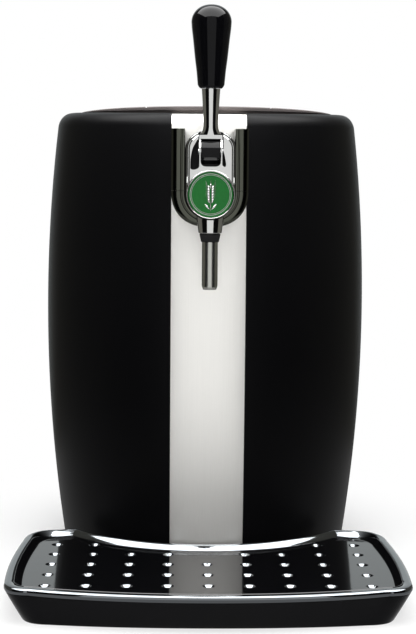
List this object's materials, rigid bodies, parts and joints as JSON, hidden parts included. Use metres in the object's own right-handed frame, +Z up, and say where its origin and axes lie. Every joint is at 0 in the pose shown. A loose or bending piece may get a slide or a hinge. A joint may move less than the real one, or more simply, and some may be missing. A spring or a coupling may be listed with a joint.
{
  "type": "mini keg beer dispenser",
  "caption": "Countertop cooler for a small keg: barrel-shaped black housing with a steel strip, lever tap, hinged lid and a slide-out drip tray with a lift-out grille.",
  "frame": {"origin": "centre of the footprint, on the table surface", "axes": "+Z up, -Y towards the front where the tap and drip tray are, +X to the right seen from the front"},
  "size_m": [0.278, 0.434, 0.4116],
  "materials": {
    "soft_black": "soft-touch matte",
    "gloss_black": "polished",
    "front_steel": "brushed along its length",
    "chrome": "bright",
    "dark_chrome": "smoked, bright",
    "spout_steel": "turned",
    "inner_steel": "plain",
    "aluminium": "plain",
    "lid_grey": "satin",
    "black_plastic": "fine texture",
    "rubber": "matte",
    "foam": "foam",
    "ceramic": "ceramic white",
    "green_enamel": "enamel",
    "board_green": "solder mask"
  },
  "bodies": {
    "housing": {"base_pan": "black_plastic", "left_shell": "soft_black", "right_shell": "soft_black", "front_strip": "front_steel", "tap_bracket": "inner_steel", "rear_panel": "black_plastic", "power_inlet": "black_plastic", "switch_housing": "black_plastic", "chamber_liner": "aluminium", "insulation_jacket": "foam", "cold_block": "aluminium", "peltier_module": "ceramic", "heat_sink": "aluminium", "fan_frame": "black_plastic", "power_supply": "lid_grey", "control_board": "board_green", "top_deck": "black_plastic", "hinge_pin": "inner_steel", "beer_line": "foam", "line_port": "rubber", "tap_body": "black_plastic", "tap_bezel": "chrome", "badge_ring": "chrome", "badge_disc": "green_enamel", "saddle_left": "dark_chrome", "saddle_right": "dark_chrome", "saddle_cup": "dark_chrome", "spout_collar": "chrome", "spout_seal": "rubber", "spout_tube": "spout_steel", "lever_pin": "inner_steel", "base_screw_left": "inner_steel", "base_screw_right": "inner_steel", "base_screw_rear_left": "inner_steel", "base_screw_rear_right": "inner_steel", "foot_front_left": "rubber", "foot_front_right": "rubber", "foot_rear_left": "rubber", "foot_rear_right": "rubber", "rear_screw_lower_left": "inner_steel", "rear_screw_upper_left": "inner_steel", "rear_screw_lower_right": "inner_steel", "rear_screw_upper_right": "inner_steel", "tap_screw_lower": "inner_steel", "tap_screw_upper": "inner_steel"},
    "lid": {"lid_shell": "lid_grey", "lid_liner": "black_plastic", "lid_gasket": "rubber"},
    "lever": {"lever_hub": "gloss_black", "lever_stem": "chrome", "lever_grip": "gloss_black"},
    "pinch": {"pinch_bar": "inner_steel"},
    "fan": {"fan_rotor": "black_plastic"},
    "rocker": {"switch_rocker": "gloss_black"},
    "tray": {"drip_tray": "gloss_black", "tray_rim": "chrome"},
    "grille": {"drip_grille": "gloss_black"}
  },
  "joints": [
    {"name": "tap_lever", "type": "hinge", "parent": "housing", "child": "lever", "pos_m": [0, -0.129, 0.312], "axis": [1, 0, 0], "range_deg": [0, 60]},
    {"name": "pinch_lift", "type": "slide", "parent": "housing", "child": "pinch", "axis": [0, 0, 1], "range_m": [0, 0.0021]},
    {"name": "lid_hinge", "type": "hinge", "parent": "housing", "child": "lid", "pos_m": [0, 0.165, 0.3375], "axis": [-1, 0, 0], "range_deg": [0, 95]},
    {"name": "fan_spin", "type": "hinge", "parent": "housing", "child": "fan", "pos_m": [0, 0.197, 0.2], "axis": [0, 1, 0], "continuous": true},
    {"name": "power_switch", "type": "hinge", "parent": "housing", "child": "rocker", "pos_m": [0.03, 0.207, 0.05], "axis": [1, 0, 0], "range_deg": [0, 24]},
    {"name": "tray_slide", "type": "slide", "parent": "housing", "child": "tray", "axis": [0, -1, 0], "range_m": [0, 0.08]},
    {"name": "grille_lift", "type": "slide", "parent": "tray", "child": "grille", "axis": [0, 0, 1], "range_m": [0, 0.03]}
  ],
  "couplings": [
    {"joint": "pinch_lift", "follows": "tap_lever", "m_per_rad": 0.0019}
  ]
}
